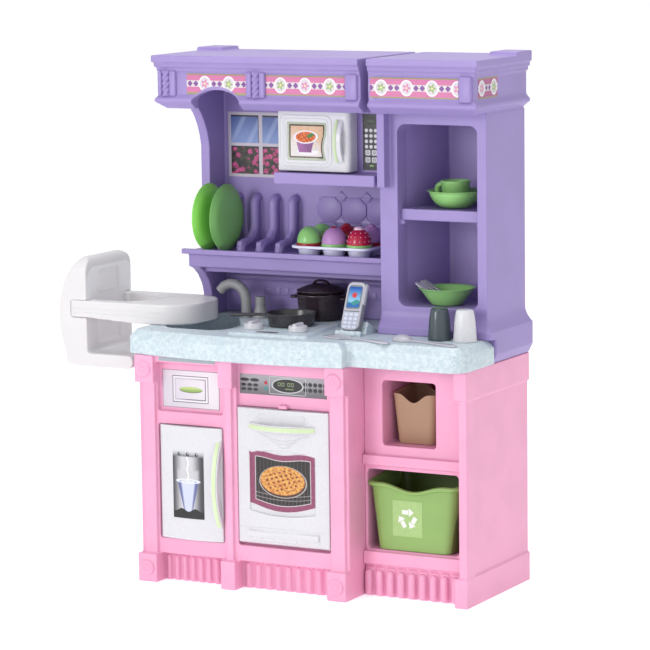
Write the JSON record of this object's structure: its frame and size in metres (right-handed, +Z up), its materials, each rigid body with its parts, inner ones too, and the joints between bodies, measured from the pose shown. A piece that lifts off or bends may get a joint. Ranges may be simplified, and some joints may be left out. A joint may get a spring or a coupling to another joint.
{
  "type": "play kitchen",
  "caption": "Plastic play kitchen: lower cabinets with opening doors, sink and hob worktop, hutch and shelf tower, clip-on doll seat, bins, dishes and pans.",
  "frame": {"origin": "middle of the lower cabinets' footprint, at floor level", "axes": "+Z up; -Y is the front with the doors; +X is the viewer's right when facing the front"},
  "size_m": [0.9375, 0.3585, 1.05],
  "materials": {
    "pink_plastic": "moulded satin",
    "speckled_worktop": "speckled satin",
    "purple_plastic": "moulded satin",
    "white_plastic": "moulded semi-gloss",
    "sage_strip": "satin",
    "pale_grey_plastic": "moulded semi-gloss",
    "grey_plastic": "moulded semi-gloss",
    "bright_green_plastic": "moulded semi-gloss",
    "dull_green_plastic": "satin",
    "green_plastic": "moulded semi-gloss",
    "silver_plastic": "metallic satin",
    "plum_plastic": "moulded semi-gloss",
    "charcoal_plastic": "satin",
    "slate_plastic": "satin",
    "lilac_plastic": "satin",
    "cake_plastic": "moulded, several colours",
    "tan_plastic": "satin",
    "pale_green_plastic": "satin"
  },
  "bodies": {
    "kitchen": {"lower_left_cabinet": "pink_plastic", "lower_right_cabinet": "pink_plastic", "countertop": "speckled_worktop", "upper_hutch": "purple_plastic", "upper_tower": "purple_plastic", "tower_shelf": "purple_plastic", "phone_cradle": "speckled_worktop"},
    "fridge_door": {"fridge_door": "white_plastic", "fridge_handle_inlay": "sage_strip"},
    "oven_door": {"oven_door": "white_plastic", "oven_handle_inlay": "sage_strip"},
    "microwave_door": {"microwave_door": "white_plastic"},
    "hob_knob_left": {"hob_knob_left": "pale_grey_plastic"},
    "hob_knob_right": {"hob_knob_right": "pale_grey_plastic"},
    "tap_spout": {"tap_spout": "grey_plastic"},
    "tap_valve": {"tap_valve": "grey_plastic"},
    "cup": {"cup": "green_plastic"},
    "spoon": {"spoon": "silver_plastic"},
    "knife": {"knife": "silver_plastic"},
    "fork": {"fork": "silver_plastic"},
    "pot": {"pot": "plum_plastic"},
    "pot_lid": {"pot_lid": "plum_plastic"},
    "phone": {"phone": "lilac_plastic"},
    "kraft_bin": {"kraft_bin": "tan_plastic"},
    "recycling_bin": {"recycling_bin": "pale_green_plastic"},
    "doll_seat": {"doll_seat": "white_plastic", "seat_tray": "white_plastic"},
    "plate_front": {"plate_front": "bright_green_plastic"},
    "plate_rear": {"plate_rear": "dull_green_plastic"},
    "upper_bowl": {"upper_bowl": "green_plastic"},
    "lower_bowl": {"lower_bowl": "green_plastic"},
    "frying_pan": {"frying_pan": "charcoal_plastic"},
    "white_tumbler": {"white_tumbler": "white_plastic"},
    "dark_tumbler": {"dark_tumbler": "slate_plastic"},
    "spatula": {"spatula": "silver_plastic"},
    "serving_spoon": {"serving_spoon": "silver_plastic"},
    "muffin_tray": {"muffin_tray": "lilac_plastic", "cupcakes": "cake_plastic"}
  },
  "joints": [
    {"name": "fridge_hinge", "type": "hinge", "parent": "kitchen", "child": "fridge_door", "pos_m": [-0.299, -0.144, 0.204], "axis": [0, 0, -1], "range_deg": [0, 90]},
    {"name": "oven_hinge", "type": "hinge", "parent": "kitchen", "child": "oven_door", "pos_m": [-0.029, -0.143, 0.102], "axis": [1, 0, 0], "range_deg": [0, 90]},
    {"name": "microwave_hinge", "type": "hinge", "parent": "kitchen", "child": "microwave_door", "pos_m": [-0.094, 0.006, 0.8765], "axis": [0, 0, -1], "range_deg": [0, 90]},
    {"name": "hob_knob_left_turn", "type": "hinge", "parent": "kitchen", "child": "hob_knob_left", "pos_m": [-0.126, -0.085, 0.51], "axis": [0, 0, 1], "range_deg": [-150, 150]},
    {"name": "hob_knob_right_turn", "type": "hinge", "parent": "kitchen", "child": "hob_knob_right", "pos_m": [-0.027, -0.085, 0.51], "axis": [0, 0, 1], "range_deg": [-150, 150]},
    {"name": "tap_swivel", "type": "hinge", "parent": "kitchen", "child": "tap_spout", "pos_m": [-0.235, 0.078, 0.505], "axis": [0, 0, 1], "range_deg": [-35, 35]},
    {"name": "tap_valve_turn", "type": "hinge", "parent": "kitchen", "child": "tap_valve", "pos_m": [-0.208, 0.089, 0.505], "axis": [0, 0, 1], "range_deg": [-90, 90]},
    {"name": "plate_front_lift", "type": "slide", "parent": "kitchen", "child": "plate_front", "axis": [0, 0, 1], "range_m": [0, 0.06]},
    {"name": "plate_rear_lift", "type": "slide", "parent": "kitchen", "child": "plate_rear", "axis": [0, 0, 1], "range_m": [0, 0.06]},
    {"name": "upper_bowl_lift", "type": "slide", "parent": "kitchen", "child": "upper_bowl", "axis": [0, 0, 1], "range_m": [0, 0.05]},
    {"name": "lower_bowl_lift", "type": "slide", "parent": "kitchen", "child": "lower_bowl", "axis": [0, 0, 1], "range_m": [0, 0.04]},
    {"name": "frying_pan_lift", "type": "slide", "parent": "kitchen", "child": "frying_pan", "axis": [0, 0, 1], "range_m": [0, 0.05]},
    {"name": "white_tumbler_lift", "type": "slide", "parent": "kitchen", "child": "white_tumbler", "axis": [0, 0, 1], "range_m": [0, 0.06]},
    {"name": "dark_tumbler_lift", "type": "slide", "parent": "kitchen", "child": "dark_tumbler", "axis": [0, 0, 1], "range_m": [0, 0.06]},
    {"name": "spatula_lift", "type": "slide", "parent": "kitchen", "child": "spatula", "axis": [0, 0, 1], "range_m": [0, 0.03]},
    {"name": "serving_spoon_lift", "type": "slide", "parent": "kitchen", "child": "serving_spoon", "axis": [0, 0, 1], "range_m": [0, 0.03]},
    {"name": "muffin_tray_lift", "type": "slide", "parent": "kitchen", "child": "muffin_tray", "axis": [0, 0, 1], "range_m": [0, 0.05]},
    {"name": "cup_lift", "type": "slide", "parent": "upper_bowl", "child": "cup", "axis": [0, 0, 1], "range_m": [0, 0.04]},
    {"name": "spoon_lift", "type": "slide", "parent": "lower_bowl", "child": "spoon", "axis": [0, 0, 1], "range_m": [0, 0.04]},
    {"name": "knife_lift", "type": "slide", "parent": "lower_bowl", "child": "knife", "axis": [0, 0, 1], "range_m": [0, 0.04]},
    {"name": "fork_lift", "type": "slide", "parent": "lower_bowl", "child": "fork", "axis": [0, 0, 1], "range_m": [0, 0.04]},
    {"name": "pot_slide", "type": "slide", "parent": "kitchen", "child": "pot", "axis": [1, 0, 0], "range_m": [0, 0.09]},
    {"name": "pot_lid_lift", "type": "slide", "parent": "pot", "child": "pot_lid", "axis": [0, 0, 1], "range_m": [0, 0.003]},
    {"name": "phone_lift", "type": "slide", "parent": "kitchen", "child": "phone", "axis": [0, 0.4067, 0.9135], "range_m": [0, 0.05]},
    {"name": "kraft_bin_pull", "type": "slide", "parent": "kitchen", "child": "kraft_bin", "axis": [0, -1, 0], "range_m": [0, 0.09]},
    {"name": "recycling_bin_pull", "type": "slide", "parent": "kitchen", "child": "recycling_bin", "axis": [0, -1, 0], "range_m": [0, 0.14]},
    {"name": "doll_seat_pull", "type": "slide", "parent": "kitchen", "child": "doll_seat", "axis": [-1, 0, 0], "range_m": [0, 0.06]}
  ]
}
